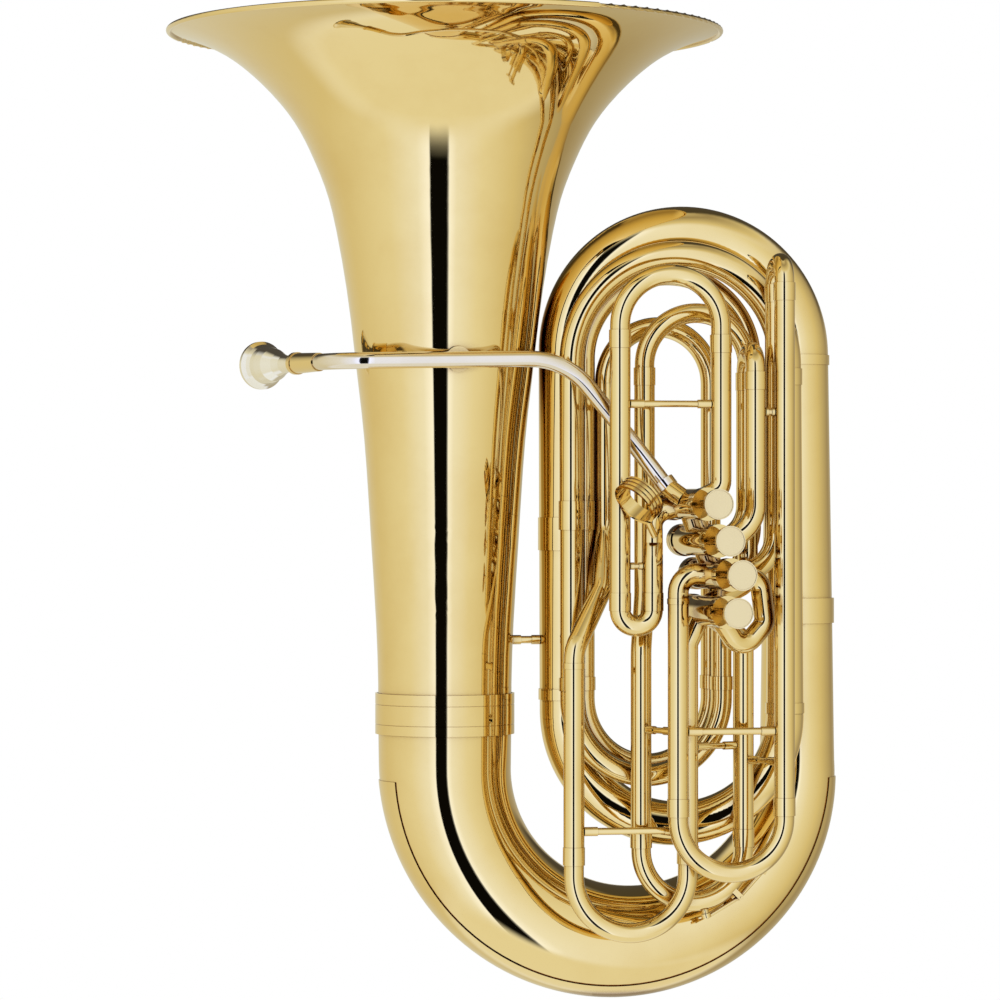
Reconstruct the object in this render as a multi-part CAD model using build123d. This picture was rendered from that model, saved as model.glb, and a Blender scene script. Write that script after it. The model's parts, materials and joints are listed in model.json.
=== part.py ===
"""Four-valve front-action concert tuba, millimetres. +Z up, -Y towards the audience, bell at -X.
The origin is the lowest point of the big bottom bow."""

import math
import os

from build123d import *

os.makedirs("parts", exist_ok=True)

# Overall sizes
BELL_RIM_R = 251.6  # centre of the rolled bead at the rim
BELL_TOP_Z = 884.0
BELL_X = -161.0
OUTER_X = 168.6  # outer branch, on the far side of the big bottom bow
BOW_END_R = (60.4, 34.4)  # outside radius of the bow where it leaves the bell and where it meets the branch
BOW_MID_R = 50.6
BOW_SWELL = 0.2  # the bow is a little thicker beside its middle
TOP_BOW_Z = 592.0
# Metal thicknesses
WALL = 1.0
TUBE_WALL = 0.8
GUARD_T = 0.9
GAP = 0.05  # running clearance on the radius, for slides, pistons and stems
SEAT = 0.1  # solder gap on the radius, for ferrules and caps
# The guard under the big bottom bow rests on the floor
BOW_HALF = (OUTER_X - BELL_X) / 2
BOW_Z = BOW_HALF + BOW_MID_R + SEAT + GUARD_T + BOW_SWELL
# Valve slide tubing
BORE_R = 8.15
LEG_WALL = 0.6  # wall of a slide's inner leg, and of the fixed tube it slides in
FERRULE_STEP = 0.55
INNER_R = BORE_R + LEG_WALL
OUTER_R = INNER_R + GAP + LEG_WALL
CROOK_R = BORE_R + TUBE_WALL
FERRULE_R = OUTER_R + FERRULE_STEP
# Valves
VALVE_DIR = (0.122, -0.99253)  # from the bottom cap to the finger button
VALVE_FRONT_Y = -160.0
VALVE_XZ = [(50.7, 453.3), (61.1, 420.8), (71.9, 390.7), (68.3, 357.4)]
CASING_LEN = 105.0
PISTON_R = 12.7
PISTON_LEN = 62.0
CAP_WALL = 1.0
CASING_R = PISTON_R + GAP + WALL
CAP_R = CASING_R + CAP_WALL
PASSAGE_R = BORE_R - 1.75  # through the piston
STEM_R = 3.9
BUTTON_R = 13.5
BUTTON_T = 5.0
BUTTON_REACH = 31.0  # button face in front of the top cap
# Mouthpiece and leadpipe
MOUTH_RIM_R = 22.0
MOUTH_DIR = (-0.36, 0.933)


def vec(*p):
    return Vector(*p)


def flush(part, label):
    """Save one node, as a single solid or a compound of separate ones."""
    solids = part.solids()
    shape = solids[0] if len(solids) == 1 else Compound(children=[*solids])
    shape.label = label
    export_step(shape, f"parts/{label}.step")


def total(pieces):
    out = pieces[0]
    for p in pieces[1:]:
        out = out + p
    return out


def disc(at, way, r):
    return Plane(origin=at, z_dir=way) * Circle(r)


def rod(a, b, r, hole=0.0):
    """A straight round bar from a to b, with an optional bore."""
    a = vec(*a)
    b = vec(*b)
    sketch = disc(a, b - a, r)
    if hole:
        sketch = sketch - disc(a, b - a, hole)
    return extrude(sketch, amount=(b - a).length)


def cone(a, b, ra, rb, wall=0.0):
    """A straight tapered tube from a to b."""
    a = vec(*a)
    b = vec(*b)
    out = loft([disc(a, b - a, ra), disc(b, b - a, rb)], ruled=True)
    if wall:
        out = out - loft([disc(a, b - a, ra - wall), disc(b, b - a, rb - wall)], ruled=True)
    return out


def pipe(points, bends, r, hole=0.0):
    """A round tube along straight runs joined by circular bends. bends is one radius or one per corner."""
    pts = [vec(*p) for p in points]
    if not isinstance(bends, (list, tuple)):
        bends = [bends] * (len(pts) - 2)
    pieces = []
    start = pts[0]
    for i in range(1, len(pts) - 1):
        u = (pts[i] - pts[i - 1]).normalized()
        w = (pts[i + 1] - pts[i]).normalized()
        turn = math.acos(max(-1.0, min(1.0, u.dot(w))))
        cut = bends[i - 1] * math.tan(turn / 2)
        s = pts[i] - u * cut
        if (s - start).length > 0.01:
            pieces.append(rod(start, s, r, hole))
        n = u.cross(w).normalized()
        centre = s + n.cross(u) * bends[i - 1]
        sketch = disc(s, u, r)
        if hole:
            sketch = sketch - disc(s, u, hole)
        pieces.append(revolve(sketch, axis=Axis(centre, n), revolution_arc=math.degrees(turn)))
        start = pts[i] + w * cut
    if (pts[-1] - start).length > 0.01:
        pieces.append(rod(start, pts[-1], r, hole))
    return total(pieces)


def bow(a, b, zc, up, radius, wall, count=12):
    """A half-circle bow between two vertical legs, its radius a function of the fraction along it."""
    ax, ay = a
    bx, by = b
    half = math.hypot(bx - ax, by - ay) / 2
    dx = (bx - ax) / 2
    dy = (by - ay) / 2

    def body(less):
        rings = []
        for i in range(count + 1):
            f = i / count
            th = math.pi * f
            at = vec(
                (ax + bx) / 2 - dx * math.cos(th), (ay + by) / 2 - dy * math.cos(th), zc + up * half * math.sin(th)
            )
            way = vec(dx * math.sin(th), dy * math.sin(th), up * half * math.cos(th))
            rings.append(disc(at, way, radius(f) - less))
        return loft(rings)

    return body(0.0) - body(wall)


def line_to(ra, rb):
    return lambda f: ra + (rb - ra) * f


def band(x, y, z0, z1, r, over=0.85):
    """A ferrule round a vertical tube of outside radius r."""
    return rod((x, y, z0), (x, y, z1), r + over, r + SEAT)


def valve_at(k, t):
    """A point on valve k's axis, t behind the face of its top cap."""
    x, z = VALVE_XZ[k]
    return (x - VALVE_DIR[0] * t, VALVE_FRONT_Y - VALVE_DIR[1] * t, z)


def valve_port(k, t, angle, d):
    """A point d from the axis, angle up from the valve's right side."""
    x, y, z = valve_at(k, t)
    c = math.cos(math.radians(angle))
    s = math.sin(math.radians(angle))
    return (x - VALVE_DIR[1] * c * d, y + VALVE_DIR[0] * c * d, z + s * d)


def valve_rod(k, t0, t1, r, hole=0.0):
    return rod(valve_at(k, t0), valve_at(k, t1), r, hole)


def clear_casings(part, *which):
    for k in which:
        part = part - valve_rod(k, -5, CASING_LEN + 5, CASING_R)
    return part


# Each tube that enters a valve: valve, distance behind the cap, angle, outside radius
PORTS = {
    "leadpipe": (0, 44, 150, 8.0),
    "first_small": (0, 64, 200, OUTER_R),
    "first_right": (0, 50, 25, OUTER_R),
    "second_front": (1, 42, 0, OUTER_R),
    "second_back": (1, 64, 0, OUTER_R),
    "third_left": (2, 42, 180, OUTER_R),
    "third_back": (2, 64, 0, OUTER_R),
    "loop_top": (2, 42, 0, OUTER_R),
    "loop_low": (3, 40, -38, OUTER_R),
    "fourth_low": (3, 60, -38, OUTER_R),
    "fourth_high": (3, 73, 38, OUTER_R),
    "main": (3, 66, -120, OUTER_R),
}


def port(name, d=8.0):
    k, t, angle, _ = PORTS[name]
    return valve_port(k, t, angle, d)


# ---- bell ----
# Outside radius against height, from the ferrule up to the flare
BELL_PROFILE = [
    (61.0, 262.6), (63.0, 347.0), (66.3, 402.0), (69.7, 457.0), (75.4, 530.0), (79.2, 563.0), (85.2, 615.0),
    (91.6, 661.0), (98.6, 700.0), (107.6, 737.0), (120.6, 770.0), (134.5, 797.5), (151.0, 820.0), (174.5, 844.0),
    (199.0, 863.0), (226.0, 876.5), (249.6, 883.6),
]
BEAD_R = 2.5
RIM_WIRE_R = 1.6


def make_bell():
    outer = Spline(*[(r, z) for r, z in BELL_PROFILE])
    count = 40
    inner_pts = []
    for i in range(count + 1):
        u = i / count
        p = outer @ u
        t = outer % u
        inner_pts.append((p.X - t.Y * WALL, p.Y + t.X * WALL))
    inner = Spline(*inner_pts)
    face = make_face([outer, inner, Line(outer @ 1, inner @ 1), Line(outer @ 0, inner @ 0)])
    horn = revolve(Plane.XZ * face, axis=Axis.Z)
    bead = Plane.XZ * (Pos(BELL_RIM_R, BELL_TOP_Z) * (Circle(BEAD_R) - Circle(RIM_WIRE_R + GAP)))
    horn = horn - revolve(Plane.XZ * (Pos(BELL_RIM_R, BELL_TOP_Z) * Circle(BEAD_R - 0.3)), axis=Axis.Z)
    horn = horn + revolve(bead, axis=Axis.Z)
    flush(Pos(BELL_X, 0, 0) * horn, "bell")
    wire = revolve(Plane.XZ * (Pos(BELL_RIM_R, BELL_TOP_Z) * Circle(RIM_WIRE_R)), axis=Axis.Z)
    flush(Pos(BELL_X, 0, 0) * wire, "bell_rim_wire")
    ring = rod((0, 0, 244), (0, 0, 281), 63.6, 61.7)
    for z in (253.0, 271.0):
        ring = ring - Pos(0, 0, z) * (Cylinder(70, 0.8) - Cylinder(63.1, 2))
    flush(Pos(BELL_X, 0, 0) * ring, "bell_ferrule")


def bow_radius(f):
    a, c = BOW_END_R
    return a * (1 - f) * (1 - 2 * f) + 4 * BOW_MID_R * f * (1 - f) + c * f * (2 * f - 1)


# The guard covers the bow outside a cylinder set off towards the bell, and ends below the bow's centre
GUARD_SHIFT = 13.0
GUARD_RISE = 38.2
GUARD_DROP = 15.0


def make_bottom_bow():
    ends = ((BELL_X, 0), (OUTER_X, 0))
    body = bow(*ends, BOW_Z, -1, bow_radius, WALL, 16)
    body = body + cone((BELL_X, 0, 262.4), (BELL_X, 0, BOW_Z), 61.0, BOW_END_R[0], WALL)
    body = body + cone((OUTER_X, 0, BOW_Z), (OUTER_X, 0, 355), BOW_END_R[1], 32.5, WALL)
    flush(body, "bottom_bow")
    shell = bow(*ends, BOW_Z, -1, lambda f: bow_radius(f) + SEAT + GUARD_T, GUARD_T, 16)
    mid = (BELL_X + OUTER_X) / 2
    shell = shell - Pos(mid - GUARD_SHIFT, 0, BOW_Z) * Rot(90, 0, 0) * Cylinder(BOW_HALF + GUARD_RISE, 200)
    above = 330.0
    shell = shell - Pos(mid, 0, BOW_Z + above / 2 - GUARD_DROP) * Box(4 * BOW_HALF, 300, above)
    flush(shell, "bow_guard")


def make_bugle():
    """The conical tubing, from the bell end to the small end."""
    flush(cone((OUTER_X, 0, 355.2), (OUTER_X, 0, TOP_BOW_Z - 4), 32.4, 28.8, WALL), "outer_branch")
    top = bow((OUTER_X, 0), (-50, 0), TOP_BOW_Z, 1, line_to(28.7, 23.8), WALL, 14)
    top = top + rod((OUTER_X, 0, TOP_BOW_Z - 3.8), (OUTER_X, 0, TOP_BOW_Z), 28.7, 28.7 - WALL)
    top = top + cone((-50, 0, TOP_BOW_Z), (-50, 0, 426.2), 23.8, 23.4, WALL)
    flush(top, "top_bow")
    flush(cone((-50, 0, 426), (-50, 0, 279.2), 23.3, 22.9, WALL), "first_branch")
    low = bow((-50, 0), (145, -52), 262, -1, line_to(22.8, 17.2), TUBE_WALL, 14)
    low = low + rod((-50, 0, 279), (-50, 0, 262), 22.8, 22.8 - TUBE_WALL)
    flush(low, "second_bottom_bow")
    flush(cone((145, -52, 262.2), (145, -52, 570), 17.1, 15.2, TUBE_WALL), "second_branch")
    top = bow((145, -52), (-52.5, -50), 581, 1, line_to(15.0, 10.8), TUBE_WALL, 14)
    top = top + rod((145, -52, 570.2), (145, -52, 581), 15.0, 15.0 - TUBE_WALL)
    top = top + rod((-52.5, -50, 581), (-52.5, -50, 444), 10.8, 10.8 - TUBE_WALL)
    flush(top, "second_top_bow")
    legs = [rod((-52.5, -50, 443.8), (-52.5, -50, 290), 10.4, 9.6), rod((-37, -32, 443.8), (-37, -32, 290), 9.2, 8.4)]
    flush(Part() + legs, "inner_branches")
    large = bow((-52.5, -50), (88, -42), 277, -1, line_to(10.3, 9.8), TUBE_WALL)
    large = large + rod((-52.5, -50, 289.8), (-52.5, -50, 277), 10.3, 10.3 - TUBE_WALL)
    large = large + rod((88, -42, 277), (88, -42, 289.8), 9.8, 9.8 - TUBE_WALL)
    small = bow((-37, -32), (84, -14), 277, -1, line_to(9.2, 9.2), TUBE_WALL)
    small = small + rod((-37, -32, 289.8), (-37, -32, 277), 9.2, 9.2 - TUBE_WALL)
    small = small + rod((84, -14, 277), (84, -14, 289.8), 9.2, 9.2 - TUBE_WALL)
    flush(Part() + [large, small], "inner_bottom_bows")
    third = pipe([(88, -42, 290), (88, -42, 345), (118, -31, 425), (118, -31, 585)], 40, 9.4, 9.4 - TUBE_WALL)
    third = third + bow((118, -31), (-37, -32), 585, 1, line_to(9.4, 9.4), TUBE_WALL)
    third = third + rod((-37, -32, 585), (-37, -32, 444), 9.4, 9.4 - TUBE_WALL)
    flush(third, "third_top_bow")
    fourth = rod((84, -14, 290), (84, -14, 563.5), 9.2, 9.2 - TUBE_WALL)
    fourth = fourth + bow((84, -14), (-18, -31), 563.5, 1, line_to(9.2, 9.2), TUBE_WALL)
    flush(fourth, "fourth_top_bow")
    bands = [
        rod((OUTER_X, 0, 343.5), (OUTER_X, 0, 366.5), 34.2, 32.8),
        rod((OUTER_X, 0, 582), (OUTER_X, 0, 591), 29.9, 29.0),
        band(-50, 0, 411, 441, 23.5, 0.9), band(-50, 0, 274, 284, 23.0, 1.0), band(145, -52, 262.5, 272, 17.1),
        band(145, -52, 562, 577, 15.2), band(-52.5, -50, 430, 456, 10.8), band(-37, -32, 430, 456, 9.4, 0.6),
        band(-52.5, -50, 284, 296, 10.4), band(-37, -32, 284, 296, 9.3, 0.7), band(88, -42, 284, 296, 9.8, 0.7),
        band(84, -14, 284, 296, 9.3),
    ]
    flush(Part() + bands, "bugle_ferrules")


# ---- slides ----
def crook(a, b, zc, up, depth, mouth):
    """A slide crook: its bend, two ferrules and two inner legs that reach depth past the ferrules' mouths."""
    ax, ay = a
    bx, by = b
    start = (ax, ay, zc)
    rise = vec(0, 0, up)
    across = vec(bx - ax, by - ay, 0).normalized()
    middle = Axis(((ax + bx) / 2, (ay + by) / 2, zc), rise.cross(across))
    body = revolve(disc(start, rise, CROOK_R) - disc(start, rise, BORE_R), axis=middle, revolution_arc=180)
    for (x, y), z in zip((a, b), mouth):
        body = body + rod((x, y, z), (x, y, zc), CROOK_R, BORE_R)
        body = body + rod((x, y, z), (x, y, z - up * depth), INNER_R, BORE_R)
        z_top = z + up * 16 if abs(zc - z) > 16 else zc
        body = body + rod((x, y, z), (x, y, z_top), FERRULE_R, CROOK_R - 0.1)
    return body


def make_first_slide():
    left = pipe(
        [(-18.8, -110, 592.8), (-18.8, -110, 344.25), (10.7, -110, 344.25), (10.7, -110, 402), (13, -96.5, 446),
         port("first_small")], [14.75, 14.75, 17, 17], OUTER_R, INNER_R + GAP,
    )
    left = clear_casings(left, 0)
    bands = [band(x, -110, 358, 374, OUTER_R, 0.5) for x in (-18.8, 10.7)]
    right = pipe([(73.2, -110, 588.8), (73.2, -110, 466), port("first_right")], 13, OUTER_R, INNER_R + GAP)
    right = clear_casings(right, 0)
    flush(Part() + [left, right, *bands], "first_slide_tubes")
    flush(crook((-18.8, -110), (73.2, -110), 613, 1, 85, (593, 589)), "first_slide_crook")


def make_second_slide():
    front = pipe([(103, -118, 555.8), (103, -118, 422), port("second_front")], 32, OUTER_R, INNER_R + GAP)
    back = pipe([(103, -81, 555.8), (103, -81, 424), port("second_back")], 30, OUTER_R, INNER_R + GAP)
    tubes = [clear_casings(front, 1), clear_casings(back, 1)]
    flush(Part() + tubes, "second_slide_tubes")
    flush(crook((103, -118), (103, -81), 572, 1, 60, (556, 556)), "second_slide_crook")


def make_third_slide():
    front = rod((129.6, -118, 635.8), (129.6, -118, 190.2), OUTER_R, INNER_R + GAP)
    back = pipe([(129.6, -81, 635.8), (129.6, -81, 393), port("third_back")], 35, OUTER_R, INNER_R + GAP)
    left = pipe([(32.5, -118, 190.2), (32.5, -118, 391.9), port("third_left")], 17, OUTER_R, INNER_R + GAP)
    tubes = [front, clear_casings(back, 2), clear_casings(left, 2), band(32.5, -118, 364, 369, OUTER_R, 0.6)]
    flush(Part() + tubes, "third_slide_tubes")
    flush(crook((129.6, -118), (129.6, -81), 652, 1, 60, (636, 636)), "third_slide_upper_crook")
    flush(crook((129.6, -118), (32.5, -118), 172, -1, 100, (190, 190)), "third_slide_crook")


def make_fourth_slide():
    left = pipe([(13.5, -58, 560.8), (13.5, -58, 372), (7.6, -72, 322), (7.6, -72, 159.2)], 30, OUTER_R, INNER_R + GAP)
    low = pipe([(102, -72, 159.2), (102, -72, 330), port("fourth_low")], 14, OUTER_R, INNER_R + GAP)
    high = pipe([(109, -58, 560.8), (109, -58, 382), port("fourth_high")], 14, OUTER_R, INNER_R + GAP)
    tubes = [left, clear_casings(low, 3), clear_casings(high, 3)]
    flush(Part() + tubes, "fourth_slide_tubes")
    flush(crook((13.5, -58), (109, -58), 579, 1, 90, (561, 561)), "fourth_slide_upper_crook")
    flush(crook((7.6, -72), (102, -72), 141, -1, 80, (159, 159)), "fourth_slide_crook")


def make_main_slide():
    path = [(-18, -31, 563.3), (-18, -31, 432), (-26, -64, 378), (-57.8, -94, 322), (-57.8, -94, 146.2)]
    left = pipe(path, 30, OUTER_R, INNER_R + GAP)
    right = pipe([(46.1, -94, 146.2), (46.1, -94, 328), port("main")], 12, OUTER_R, INNER_R + GAP)
    flush(Part() + [left, clear_casings(right, 3), band(-57.8, -94, 306, 311, OUTER_R, 0.6)], "main_slide_tubes")
    flush(crook((-57.8, -94), (46.1, -94), 120.3, -1, 110, (146, 146)), "main_tuning_slide")


# ---- valves ----
def make_casing(k):
    body = valve_rod(k, 3.2, CASING_LEN - 3.2, CASING_R, PISTON_R + GAP)
    for v, t, angle, r in PORTS.values():
        if v == k:
            body = body - rod(valve_port(v, t, angle, 9), valve_port(v, t, angle, 20), BORE_R - 0.4)
    for a, b, t in ((0, 1, 58), (1, 2, 53)):
        if k in (a, b):
            body = body - rod(valve_at(a, t), valve_at(b, t), BORE_R - 1.2)
    body = body & valve_rod(k, 3.2, CASING_LEN - 3.2, CASING_R)
    return body


def make_top_cap(k):
    cap = valve_rod(k, 0, 3, CAP_R, STEM_R + 0.15) + valve_rod(k, 3, 13, CAP_R, CASING_R + SEAT)
    for t in (4.5, 7.5, 10.5):
        cap = cap - valve_rod(k, t, t + 1.0, CAP_R + 2, CAP_R - 0.4)
    return cap


def make_bottom_cap(k):
    n = CASING_LEN
    cap = valve_rod(k, n - 3, n, CAP_R) + valve_rod(k, n - 12, n - 3, CAP_R, CASING_R + SEAT)
    cap = cap - valve_rod(k, n - 8.5, n - 7, CAP_R + 2, CAP_R - 0.4)
    return cap - valve_rod(k, n - 1, n + 1, 3)


def make_piston(k):
    """A thin drum with its two ends, and through passages that line up with the ports."""
    t0 = 10.0
    t1 = t0 + PISTON_LEN
    drum = valve_rod(k, t0, t1, PISTON_R, PISTON_R - 1.0)
    drum = drum + valve_rod(k, t0, t0 + 2, PISTON_R - 0.5, 3.0) + valve_rod(k, t1 - 2, t1, PISTON_R - 0.5)
    for t, angle in ((22, 0), (42, 35), (61, -35)):
        a = valve_port(k, t, angle, 14)
        b = valve_port(k, t, angle + 180, 14)
        drum = drum + (rod(a, b, PASSAGE_R + TUBE_WALL) & valve_rod(k, t0, t1, PISTON_R - 0.3))
        drum = drum - rod(a, b, PASSAGE_R)
    return drum


def make_stem(k):
    stem = valve_rod(k, -BUTTON_REACH + BUTTON_T, 10, STEM_R) + valve_rod(k, 10, 12, 2.9)
    return stem + valve_rod(k, 4.5, 9.9, 8.0)


def make_button(k):
    n = -BUTTON_REACH
    body = valve_rod(k, n, n + 1.6, BUTTON_R, BUTTON_R - 0.9) + valve_rod(k, n + 0.5, n + BUTTON_T, BUTTON_R - 0.3)
    return body - valve_rod(k, n + BUTTON_T - 2, n + BUTTON_T + 1, STEM_R - 1.5)


def make_spring(k):
    t0 = 10.0 + PISTON_LEN
    length = CASING_LEN - 3.0 - t0
    turns = 5.0
    coil = Helix(pitch=(length - 2.2) / turns, height=length - 2.2, radius=9.0)
    wire = sweep(Plane(origin=coil @ 0, z_dir=coil % 0) * Circle(0.8), path=coil, is_frenet=True)
    at = valve_at(k, t0 + 1.1)
    back = vec(-VALVE_DIR[0], -VALVE_DIR[1], 0)
    return Plane(origin=at, z_dir=back) * wire


def make_valves():
    for k in range(4):
        flush(make_casing(k), f"valve_casing_{k + 1}")
        flush(make_piston(k), f"piston_{k + 1}")
        flush(make_stem(k), f"valve_stem_{k + 1}")
        flush(make_button(k), f"finger_button_{k + 1}")
        flush(make_spring(k), f"valve_spring_{k + 1}")
    flush(Part() + [make_top_cap(k) for k in range(4)], "valve_top_caps")
    flush(Part() + [make_bottom_cap(k) for k in range(4)], "valve_bottom_caps")
    links = []
    for a, b, t in ((0, 1, 58), (1, 2, 53)):
        links.append(clear_casings(rod(valve_at(a, t), valve_at(b, t), OUTER_R - 0.6, BORE_R - 1.2), a, b))
        post = rod(valve_at(a, t - 26), valve_at(b, t - 26), 3.2)
        links.append(clear_casings(post, a, b))
    links.append(clear_casings(rod(valve_at(2, 22), valve_at(3, 22), 3.2), 2, 3))
    loop = pipe([port("loop_low"), (92, -108, 321), (115, -104, 346), (110, -104, 387), port("loop_top")], 14,
                OUTER_R, BORE_R)
    links.append(clear_casings(loop, 2, 3))
    flush(Part() + links, "valve_knuckles")


# ---- leadpipe and mouthpiece ----
LEADPIPE_BEND = (-269.0, -97.0, 580.5)  # where the pipe turns back towards the player
LEADPIPE_DIP = (-12.0, -84.0, 521.0)  # where it passes behind the first slide
LEADPIPE_R = 7.4
LEADPIPE_BORE_R = 6.2
COUPLING = (24.5, -101.5, 469.5)


def make_leadpipe():
    mx, my = MOUTH_DIR
    bx, by, bz = LEADPIPE_BEND
    start = (bx + mx * 52, by + my * 52, bz)
    path = [start, LEADPIPE_BEND, (-66, -97, 583.5), LEADPIPE_DIP, COUPLING]
    flush(pipe(path, [44, 70, 120], LEADPIPE_R, LEADPIPE_BORE_R), "leadpipe")
    end = port("leadpipe", 8)
    c = vec(*COUPLING)
    gone = (vec(*end) - c).normalized()
    before = c - (c - vec(*LEADPIPE_DIP)).normalized() * 5
    nut = rod(before, (c + (c - before).normalized() * 3), 10.6, LEADPIPE_R + SEAT)
    flush(nut, "leadpipe_collar")
    elbow = rod((c + gone * 1.5), end, 8.6, LEADPIPE_BORE_R)
    elbow = clear_casings(elbow, 0) - rod(before, (c + (c - before).normalized() * 3), 10.65)
    flush(elbow, "leadpipe_elbow")
    # receiver over the pipe's end, tapering from its mouth
    s0 = vec(*start) - vec(mx, my, 0) * 12
    s1 = vec(*start) + vec(mx, my, 0) * 34
    out = cone(s0, s1, 8.4, 9.5) - rod(s0, start, LEADPIPE_R + SEAT)
    out = out - cone(start, s1, 5.6, 6.7)
    out = out + rod((s1 - vec(mx, my, 0) * 5), s1, 10.2, 7.0)
    out = out - cone(start, (s1 + vec(mx, my, 0)), 5.6, 6.75)
    flush(out, "mouthpipe_receiver")
    make_mouthpiece(start, s1)


def make_mouthpiece(start, mouth):
    """Turned cup mouthpiece; its shank drops into the receiver with a sliding gap."""
    mx, my = MOUTH_DIR
    length = (mouth - vec(*start)).length
    taper = (6.75 - 5.6) / (length + 1)
    d0 = 12.0

    def shank(d):
        return 5.6 + taper * d - 0.06

    outer = [
        (shank(d0), d0), (shank(length), length), (7.3, length + 10), (8.2, length + 20), (10.6, length + 30),
        (14.8, length + 42), (16.6, length + 52), (17.4, length + 58), (19.2, length + 62), (MOUTH_RIM_R, length + 66),
        (MOUTH_RIM_R, length + 69.5), (MOUTH_RIM_R - 2.2, length + 72), (MOUTH_RIM_R - 5.2, length + 72),
        (MOUTH_RIM_R - 6.2, length + 69), (14.2, length + 56), (10.5, length + 46), (5.6, length + 38),
        (3.9, length + 33), (4.6, d0),
    ]
    face = Plane.XZ * make_face(Polyline(*outer, close=True))
    body = revolve(face, axis=Axis.Z)
    flush(Plane(origin=start, z_dir=(mx, my, 0)) * body, "mouthpiece")


# ---- thumb ring, braces and water keys ----
def make_thumb_ring():
    centre = vec(-8, -142.5, 457)
    way = vec(0.69, 0.35, 0.63).normalized()
    a = centre - way * 6
    b = centre + way * 6
    ring = rod(a, b, 20.6, 18.8)
    for d in (-6, -2, 2, 6):
        p = centre + way * (d - 0.9)
        q = centre + way * (d + 0.9)
        ring = ring + rod(p, q, 21.6, 18.9)
    base = vec(10.5, -119.6, 425)
    out = base - centre
    out = (out - way * out.dot(way)).normalized()
    foot = rod(base, (centre + out * 20.4), 3.0)
    foot = foot - rod(a, b, 19.5)
    ring = ring + foot
    saddle = rod((10.7, -110, 419), (10.7, -110, 431), OUTER_R + 1.5, OUTER_R + SEAT)
    ring = ring + (saddle & Pos(10.7, -119, 425) * Box(14, 12, 12))
    flush(ring, "thumb_ring")


def stay(a, b, r, ra, rb):
    """A rod between two tubes, thickened at its ends; ra and rb are the tubes it stops at."""
    va = vec(*a)
    vb = vec(*b)
    u = (vb - va).normalized()
    p = va + u * (ra + 0.02)
    q = vb - u * (rb + 0.02)
    size = (q - p).length
    end = min(12.0, size * 0.3)
    out = rod(p, q, r)
    out = out + rod(p, (p + u * end), r + 0.9)
    return out + rod((q - u * end), q, r + 0.9)


def make_braces():
    o = OUTER_R
    stays = [
        stay((-18.8, -110, 543), (73.2, -110, 543), 3.0, o, o),
        stay((-57.8, -94, 160), (46.1, -94, 160), 3.2, o, o),
        stay((32.5, -118, 250), (129.6, -118, 250), 3.2, o, o),
        stay((103, -118, 536), (129.6, -118, 536), 3.0, o, o),
        stay((-18.8, -110, 398), (10.7, -110, 398), 2.4, o, o),
        stay((BELL_X, 0, 329), (-50, 0, 329), 3.4, 62.7, 23.3),
        stay((7.6, -72, 250), (32.5, -118, 250), 2.8, o, o),
        stay((46.1, -94, 235), (102, -72, 235), 2.8, o, o),
        stay((102, -72, 222), (129.6, -118, 222), 2.8, o, o),
        stay((145, -52, 332), (OUTER_X, 0, 332), 3.2, 17.2, 33.6),
        stay((109, -58, 520), (145, -52, 520), 2.8, o, 15.9),
        stay((129.6, -81, 500), (145, -52, 500), 2.8, o, 15.9),
        stay((-52.5, -50, 301), (-57.8, -94, 301), 2.8, 10.5, o),
        stay((-52.5, -50, 470), (-37, -32, 470), 2.4, 10.9, 9.5),
        stay((-37, -32, 350), (-50, 0, 350), 2.4, 9.3, 23.4),
    ]
    # flange and post from the bell to the leadpipe
    bell_r = 83.6
    stand = rod((BELL_X, 3 - bell_r, 583), (BELL_X, -2.5 - bell_r, 583), 11.5)
    stand = stand + rod((BELL_X, 3 - bell_r, 583), (BELL_X, -89.5, 583), 4.0)
    stays.append(stand - Pos(BELL_X, 0, 583) * Cylinder(bell_r, 60))
    flush(Part() + stays, "braces")


# ---- water key on the fourth slide's lower crook ----
KEY_CENTRE = (54.8, 141.0)
KEY_R = 62.0
KEY_PIVOT = -45.0
KEY_PAD = -78.0
KEY_TOUCH = -15.0
KEY_Y = -72.0
PIN_R = 1.0


def key_at(angle, r, dy=0.0):
    a = math.radians(angle)
    return (KEY_CENTRE[0] + r * math.cos(a), KEY_Y + dy, KEY_CENTRE[1] + r * math.sin(a))


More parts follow.
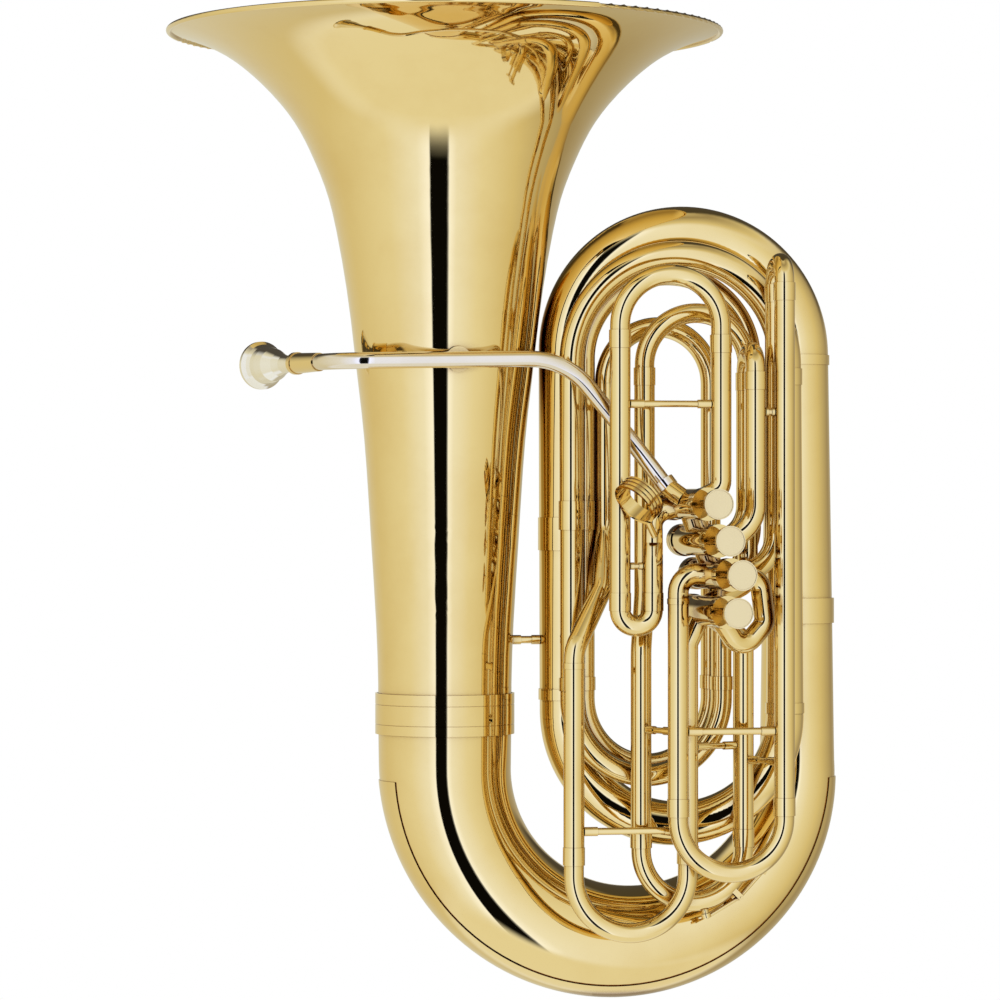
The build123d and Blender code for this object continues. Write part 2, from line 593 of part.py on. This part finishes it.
def make_water_key():
    bend = revolve(
        disc((KEY_CENTRE[0] + 47.2, KEY_Y, KEY_CENTRE[1]), (0, 0, -1), CROOK_R + 0.02),
        axis=Axis((KEY_CENTRE[0], KEY_Y, KEY_CENTRE[1]), (0, 1, 0)), revolution_arc=180,
    )
    pivot = key_at(KEY_PIVOT, KEY_R)
    out = vec(*key_at(KEY_PIVOT, 1.0)) - vec(*key_at(KEY_PIVOT, 0.0))
    saddle = rod(key_at(KEY_PIVOT, KEY_R, -8), key_at(KEY_PIVOT, KEY_R, 8), PIN_R)
    for dy in (-6, 6):
        saddle = saddle + Plane(origin=key_at(KEY_PIVOT, 58.0, dy), z_dir=out, x_dir=(0, 1, 0)) * Box(2.0, 5.0, 14.0)
    saddle = saddle - bend
    nipple = rod(key_at(KEY_PAD, 54.5), key_at(KEY_PAD, 59.4), 3.2, 1.2) - bend
    flush(Part() + [saddle, nipple], "water_key_saddle")
    lever = rod(pivot, key_at(KEY_PAD, KEY_R + 1.2), 1.8) + rod(pivot, key_at(KEY_TOUCH, 70), 1.8)
    lever = lever + rod(key_at(KEY_PIVOT, KEY_R, -4.4), key_at(KEY_PIVOT, KEY_R, 4.4), 2.8)
    lever = lever + rod(key_at(KEY_PAD, 59.6), key_at(KEY_PAD, 63.4), 4.4)
    lever = lever + rod(key_at(KEY_TOUCH, 69), key_at(KEY_TOUCH, 71.2), 5.6)
    lever = lever - rod(key_at(KEY_PIVOT, KEY_R, -9), key_at(KEY_PIVOT, KEY_R, 9), PIN_R + GAP)
    flush(lever, "water_key_lever")


def make_all():
    make_bell()
    make_bottom_bow()
    make_bugle()
    make_first_slide()
    make_second_slide()
    make_third_slide()
    make_fourth_slide()
    make_main_slide()
    make_valves()
    make_leadpipe()
    make_thumb_ring()
    make_braces()
    make_water_key()


make_all()
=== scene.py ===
# %% [markdown]
# # A four-valve tuba in a white studio
# The shapes that have to fit and move come ready made from the frame. This lesson gives them
# their looks: polished brass is almost a mirror, so most of the work is in what it reflects.

# %% Load the frame
import json
import math

import bpy
import numpy as np
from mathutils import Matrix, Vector

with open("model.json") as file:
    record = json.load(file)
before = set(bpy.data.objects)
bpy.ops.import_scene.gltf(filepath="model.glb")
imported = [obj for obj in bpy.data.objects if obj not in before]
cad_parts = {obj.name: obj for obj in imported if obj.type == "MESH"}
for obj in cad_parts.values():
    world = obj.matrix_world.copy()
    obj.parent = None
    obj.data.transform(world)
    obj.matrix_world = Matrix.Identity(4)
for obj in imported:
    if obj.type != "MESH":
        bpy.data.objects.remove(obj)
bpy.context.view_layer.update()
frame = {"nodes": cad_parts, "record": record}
nodes = frame["nodes"]
MM = 0.001

# %% [markdown]
# ## The camera
# A tuba is nearly a metre tall, and a long lens from almost four metres away keeps its tubes
# parallel. The camera stands at half the instrument's height and a little to the bell's side.

# %% Camera
CAMERA_AZIMUTH = math.radians(-9.0)
CAMERA_DISTANCE = 3.80
CAMERA_HEIGHT = 0.457
CAMERA_SHIFT = 0.1086
LENS = 148.7
SENSOR = 36
look = Vector((-math.sin(CAMERA_AZIMUTH), math.cos(CAMERA_AZIMUTH), 0))
right = Vector((look.y, -look.x, 0))
camera_data = bpy.data.cameras.new("camera")
camera_data.lens = LENS
camera_data.sensor_width = SENSOR
camera = bpy.data.objects.new("camera", camera_data)
bpy.context.scene.collection.objects.link(camera)
aim = Vector((0, 0, CAMERA_HEIGHT)) - right * CAMERA_SHIFT
camera.location = aim - look * CAMERA_DISTANCE
camera.rotation_euler = look.to_track_quat("-Z", "Y").to_euler()
bpy.context.scene.camera = camera
print("camera at", [round(v, 3) for v in camera.location])

# %% [markdown]
# ## What the brass reflects
# Polished metal has no shade of its own: it shows the room. A brass player's portrait is taken
# in a white tent with one dark slot where the camera looks in, and that slot draws the thin black
# line down the middle of every tube. The world here is that tent, painted by direction: its
# azimuth from the camera, and its height. Rays that leave the camera see plain white instead.

# %% World
world = bpy.data.worlds.new("tent")
bpy.context.scene.world = world
world.use_nodes = True
tent = world.node_tree
tent.nodes.clear()


def tent_math(op, a, b=0.0, c=0.0):
    """One maths step on sockets or plain numbers, given back as a socket."""
    n = tent.nodes.new("ShaderNodeMath")
    n.operation = op
    for socket, value in zip(n.inputs, (a, b, c)):
        if isinstance(value, (int, float)):
            socket.default_value = value
        else:
            tent.links.new(value, socket)
    return n.outputs[0]


def tent_step(value, low, high):
    """0 below low, 1 above high, and a smooth rise between."""
    n = tent.nodes.new("ShaderNodeMapRange")
    n.interpolation_type = "SMOOTHSTEP"
    n.inputs["From Min"].default_value = low
    n.inputs["From Max"].default_value = high
    tent.links.new(value, n.inputs["Value"])
    return n.outputs["Result"]


def tent_mix(mask, below, above):
    """Colour below where the mask is 0, and above where it is 1."""
    n = tent.nodes.new("ShaderNodeMix")
    n.data_type = "RGBA"
    tent.links.new(mask, n.inputs[0])
    for socket, value in ((n.inputs[6], below), (n.inputs[7], above)):
        if isinstance(value, tuple):
            socket.default_value = (*value, 1)
        else:
            tent.links.new(value, socket)
    return n.outputs[2]


def tent_ramp(value, low, high, stops):
    """Colours along a value: each stop is a place between low and high, and its light."""
    n = tent.nodes.new("ShaderNodeValToRGB")
    ramp = n.color_ramp
    places = [(where - low) / (high - low) for where, _ in stops]
    ramp.elements[0].position = places[0]
    ramp.elements[1].position = places[-1]
    for place in places[1:-1]:
        ramp.elements.new(place)
    for element, (_, light) in zip(ramp.elements, stops):
        element.color = (*(part / BRIGHTEST for part in light), 1)
    step = tent_math("DIVIDE", tent_math("SUBTRACT", value, low), high - low)
    tent.links.new(step, n.inputs[0])
    return n.outputs[0]


BRIGHTEST = 4.0
LAMP = (1.20, 1.42, 2.35)
WHITE = (1.02, 1.16, 1.62)
CREAM = (0.92, 0.97, 1.02)
GOLD = (0.79, 0.77, 0.62)
DIM = (0.40, 0.36, 0.28)
BLACK = (0.004, 0.004, 0.004)
UNLIT = (0.02, 0.018, 0.015)
# Degrees round the tent from the camera, to the right, and the light there
ROUND = [
    (-180, (0.70, 0.68, 0.56)), (-120, GOLD), (-60, CREAM), (-28, WHITE), (-15.5, LAMP),
    (-14.5, BLACK), (4, BLACK), (5, LAMP), (13, WHITE), (40, CREAM), (75, GOLD), (130, DIM),
    (180, (0.56, 0.53, 0.42)),
]
# Degrees up from the horizon
UP = [
    (-90, CREAM), (-55, CREAM), (-30, WHITE), (0, CREAM), (30, WHITE), (50, GOLD), (70, DIM),
    (90, GOLD),
]
facing = tent.nodes.new("ShaderNodeTexCoord")
axes = tent.nodes.new("ShaderNodeSeparateXYZ")
tent.links.new(facing.outputs["Generated"], axes.inputs[0])
east, north, above = axes.outputs
toward = tent_math("MULTIPLY_ADD", east, -look.x, tent_math("MULTIPLY", north, -look.y))
aside = tent_math("MULTIPLY_ADD", east, right.x, tent_math("MULTIPLY", north, right.y))
round_angle = tent_math("DEGREES", tent_math("ARCTAN2", aside, toward))
up_angle = tent_math("DEGREES", tent_math("ARCSINE", above))
walls = tent_ramp(round_angle, -180, 180, ROUND)
cover = tent_ramp(up_angle, -90, 90, UP)
high_up = tent_step(up_angle, 32, 48)
low_down = tent_math("SUBTRACT", 1, tent_step(up_angle, -52, -40))
steep = tent_math("MAXIMUM", high_up, low_down)
inside = tent_mix(steep, walls, cover)
# The paper behind the instrument ends overhead, and the room beyond it is dark
behind = tent_step(tent_math("ABSOLUTE", round_angle), 115, 150)
over = tent_step(up_angle, 5, 14)
inside = tent_mix(tent_math("MULTIPLY", behind, over), inside, UNLIT)
studio = tent.nodes.new("ShaderNodeBackground")
studio.inputs["Strength"].default_value = BRIGHTEST
tent.links.new(inside, studio.inputs["Color"])
plain = tent.nodes.new("ShaderNodeBackground")
plain.inputs["Color"].default_value = (1, 1, 1, 1)
rays = tent.nodes.new("ShaderNodeLightPath")
pick = tent.nodes.new("ShaderNodeMixShader")
tent.links.new(rays.outputs["Is Camera Ray"], pick.inputs[0])
tent.links.new(studio.outputs[0], pick.inputs[1])
tent.links.new(plain.outputs[0], pick.inputs[2])
out = tent.nodes.new("ShaderNodeOutputWorld")
tent.links.new(pick.outputs[0], out.inputs["Surface"])
bpy.context.scene.view_settings.view_transform = "Standard"
print("tent stops:", len(ROUND), "round and", len(UP), "up")

# %% [markdown]
# ## Shared finish: handling marks
# Lacquered metal is never perfectly even: fingers leave a faint haze and the buffing wheel leaves
# a slow waviness. One node group makes both, so brass, nickel silver and plate can share it.

# %% Handling marks group


def group(name, ins, outs):
    """A new shader node group with the named inputs and outputs."""
    g = bpy.data.node_groups.new(name, "ShaderNodeTree")
    for label, kind, value in ins:
        s = g.interface.new_socket(label, in_out="INPUT", socket_type=kind)
        s.default_value = value
    for label, kind in outs:
        g.interface.new_socket(label, in_out="OUTPUT", socket_type=kind)
    return g, g.nodes.new("NodeGroupInput"), g.nodes.new("NodeGroupOutput")


marks, m_in, m_out = group(
    "handling_marks",
    [
        ("Polish", "NodeSocketFloat", 0.04),
        ("Haze", "NodeSocketFloat", 0.06),
        ("Wave", "NodeSocketFloat", 0.02),
    ],
    [
        ("Roughness", "NodeSocketFloat"),
        ("Normal", "NodeSocketVector"),
        ("Haze Mask", "NodeSocketFloat"),
    ],
)
m_coord = marks.nodes.new("ShaderNodeTexCoord")
smear = marks.nodes.new("ShaderNodeTexNoise")
smear.inputs["Scale"].default_value = 9.0
smear.inputs["Detail"].default_value = 5.0
smear.inputs["Roughness"].default_value = 0.62
marks.links.new(m_coord.outputs["Object"], smear.inputs["Vector"])
smear_ramp = marks.nodes.new("ShaderNodeMapRange")
smear_ramp.inputs["From Min"].default_value = 0.46
smear_ramp.inputs["From Max"].default_value = 0.72
marks.links.new(smear.outputs["Fac"], smear_ramp.inputs["Value"])
haze = marks.nodes.new("ShaderNodeMath")
haze.operation = "MULTIPLY_ADD"
marks.links.new(smear_ramp.outputs["Result"], haze.inputs[0])
marks.links.new(m_in.outputs["Haze"], haze.inputs[1])
marks.links.new(m_in.outputs["Polish"], haze.inputs[2])
marks.links.new(haze.outputs[0], m_out.inputs["Roughness"])
marks.links.new(smear_ramp.outputs["Result"], m_out.inputs["Haze Mask"])
buff = marks.nodes.new("ShaderNodeTexNoise")
buff.inputs["Scale"].default_value = 14.0
buff.inputs["Detail"].default_value = 1.0
marks.links.new(m_coord.outputs["Object"], buff.inputs["Vector"])
wave = marks.nodes.new("ShaderNodeBump")
wave.inputs["Distance"].default_value = 0.002
marks.links.new(m_in.outputs["Wave"], wave.inputs["Strength"])
marks.links.new(buff.outputs["Fac"], wave.inputs["Height"])
marks.links.new(wave.outputs["Normal"], m_out.inputs["Normal"])
print("handling marks:", [s.name for s in marks.interface.items_tree])

# %% [markdown]
# ## Shared painted shade in the seams
# Where a ferrule meets a tube, and in the narrow space between two tubes, the metal colour is darkened
# to a red brown: painted shade for the shade that falls in these corners. It could be painted along
# every seam, but a mask of how closed in each point is finds all the corners by itself.

# %% Painted seam shade group
SEAM_REACH = 0.015
# How far the painted shade darkens each metal's own colour in the seams and gaps
PAINTED_SHADE_TONE = (0.42, 0.30, 0.22)
seams, s_in, s_out = group(
    "seam_painted_shade", [("Reach", "NodeSocketFloat", SEAM_REACH)], [("Painted Shade Mask", "NodeSocketFloat")]
)
closeness = seams.nodes.new("ShaderNodeAmbientOcclusion")
closeness.samples = 4
seams.links.new(s_in.outputs["Reach"], closeness.inputs["Distance"])
corner = seams.nodes.new("ShaderNodeMapRange")
corner.interpolation_type = "SMOOTHSTEP"
corner.inputs["From Min"].default_value = 0.40
corner.inputs["From Max"].default_value = 0.85
corner.inputs["To Min"].default_value = 1.0
corner.inputs["To Max"].default_value = 0.0
seams.links.new(closeness.outputs["AO"], corner.inputs["Value"])
seams.links.new(corner.outputs["Result"], s_out.inputs["Painted Shade Mask"])
print("seam reach in mm:", round(SEAM_REACH / MM, 1))

# %% [markdown]
# ## The finishes
# Each finish is its own material: a metal colour with two close tones mixed by the haze mask, and
# its own amount of polish, haze and waviness. The lacquer is the coat.

# %% Metal materials


def metal(name, tone, worn, polish, haze_amount, waviness, coat=0.0):
    """A polished metal: tone where it is clean, worn where hands have touched it."""
    m = bpy.data.materials.new(name)
    m.use_nodes = True
    t = m.node_tree
    shader = t.nodes["Principled BSDF"]
    g = t.nodes.new("ShaderNodeGroup")
    g.node_tree = marks
    g.inputs["Polish"].default_value = polish
    g.inputs["Haze"].default_value = haze_amount
    g.inputs["Wave"].default_value = waviness
    blend = t.nodes.new("ShaderNodeMix")
    blend.data_type = "RGBA"
    blend.inputs[6].default_value = (*tone, 1)
    blend.inputs[7].default_value = (*worn, 1)
    t.links.new(g.outputs["Haze Mask"], blend.inputs[0])
    # Painted shade: the metal colour is darkened to a red brown where the mask finds closed-in corners
    # and narrow gaps
    seam = t.nodes.new("ShaderNodeGroup")
    seam.node_tree = seams
    painted_shade_mix = t.nodes.new("ShaderNodeMix")
    painted_shade_mix.data_type = "RGBA"
    painted_shade_mix.inputs[7].default_value = (*(part * shade for part, shade in zip(tone, PAINTED_SHADE_TONE)), 1)
    t.links.new(seam.outputs["Painted Shade Mask"], painted_shade_mix.inputs[0])
    t.links.new(blend.outputs[2], painted_shade_mix.inputs[6])
    t.links.new(painted_shade_mix.outputs[2], shader.inputs["Base Color"])
    t.links.new(g.outputs["Roughness"], shader.inputs["Roughness"])
    t.links.new(g.outputs["Normal"], shader.inputs["Normal"])
    shader.inputs["Metallic"].default_value = 1.0
    shader.inputs["Coat Weight"].default_value = coat
    shader.inputs["Coat Roughness"].default_value = 0.02
    return m


brass = metal("lacquered_brass", (0.84, 0.63, 0.255), (0.80, 0.58, 0.22), 0.025, 0.03, 0.010, coat=0.2)
nickel_silver = metal("nickel_silver", (0.80, 0.69, 0.50), (0.74, 0.62, 0.43), 0.05, 0.05, 0.012)
silver_plate = metal("silver_plate", (0.90, 0.83, 0.68), (0.84, 0.76, 0.60), 0.05, 0.05, 0.008)
piston_metal = metal("piston_metal", (0.66, 0.65, 0.62), (0.60, 0.58, 0.55), 0.16, 0.08, 0.01)
spring_wire = metal("spring_wire", (0.72, 0.66, 0.50), (0.60, 0.54, 0.40), 0.22, 0.10, 0.02)
button_face = metal("button_brass", (0.84, 0.68, 0.38), (0.78, 0.61, 0.33), 0.16, 0.05, 0.01, coat=0.3)

FINISH = {
    "lacquered_brass": brass,
    "nickel_silver": nickel_silver,
    "silver_plate": silver_plate,
    "piston_metal": piston_metal,
    "spring_wire": spring_wire,
}
slot_of = {s["node"]: s["material_slot"] for s in frame["record"]["subparts"]}
for name, o in nodes.items():
    o.data.materials.clear()
    o.data.materials.append(button_face if name.startswith("finger_button") else FINISH[slot_of[name]])
print("finishes:", sorted(FINISH), "on", len(nodes), "pieces")

# %% [markdown]
# ## The floor
# The instrument is shown alone on white, so the floor is a plain white disc that looks exactly
# as bright as the tent behind it. The brass doesn't reflect it: its reflections pass through to the
# tent.

# %% Floor
floor_data = bpy.data.meshes.new("floor")
FLOOR_R = 6.0
FLOOR_DROP = 0.004
FLOOR_CORNERS = 96
turn = np.linspace(0, 2 * np.pi, FLOOR_CORNERS, endpoint=False)
floor_points = np.stack(
    [FLOOR_R * np.cos(turn), FLOOR_R * np.sin(turn), np.full(FLOOR_CORNERS, -FLOOR_DROP)], axis=1
)
floor_data.from_pydata(floor_points.tolist(), [], [list(range(FLOOR_CORNERS))])
floor = bpy.data.objects.new("floor", floor_data)
bpy.context.scene.collection.objects.link(floor)
paper = bpy.data.materials.new("white_paper")
paper.use_nodes = True
pt = paper.node_tree
pt.nodes.clear()
matt = pt.nodes.new("ShaderNodeBsdfDiffuse")
matt.inputs["Color"].default_value = (0.80, 0.78, 0.74, 1)
glow = pt.nodes.new("ShaderNodeEmission")
seen = pt.nodes.new("ShaderNodeLightPath")
both = pt.nodes.new("ShaderNodeMixShader")
surface = pt.nodes.new("ShaderNodeOutputMaterial")
pt.links.new(seen.outputs["Is Camera Ray"], both.inputs[0])
pt.links.new(matt.outputs[0], both.inputs[1])
pt.links.new(glow.outputs[0], both.inputs[2])
pt.links.new(both.outputs[0], surface.inputs["Surface"])
floor_data.materials.append(paper)
floor.visible_glossy = False
print("floor disc of radius", FLOOR_R, "m")
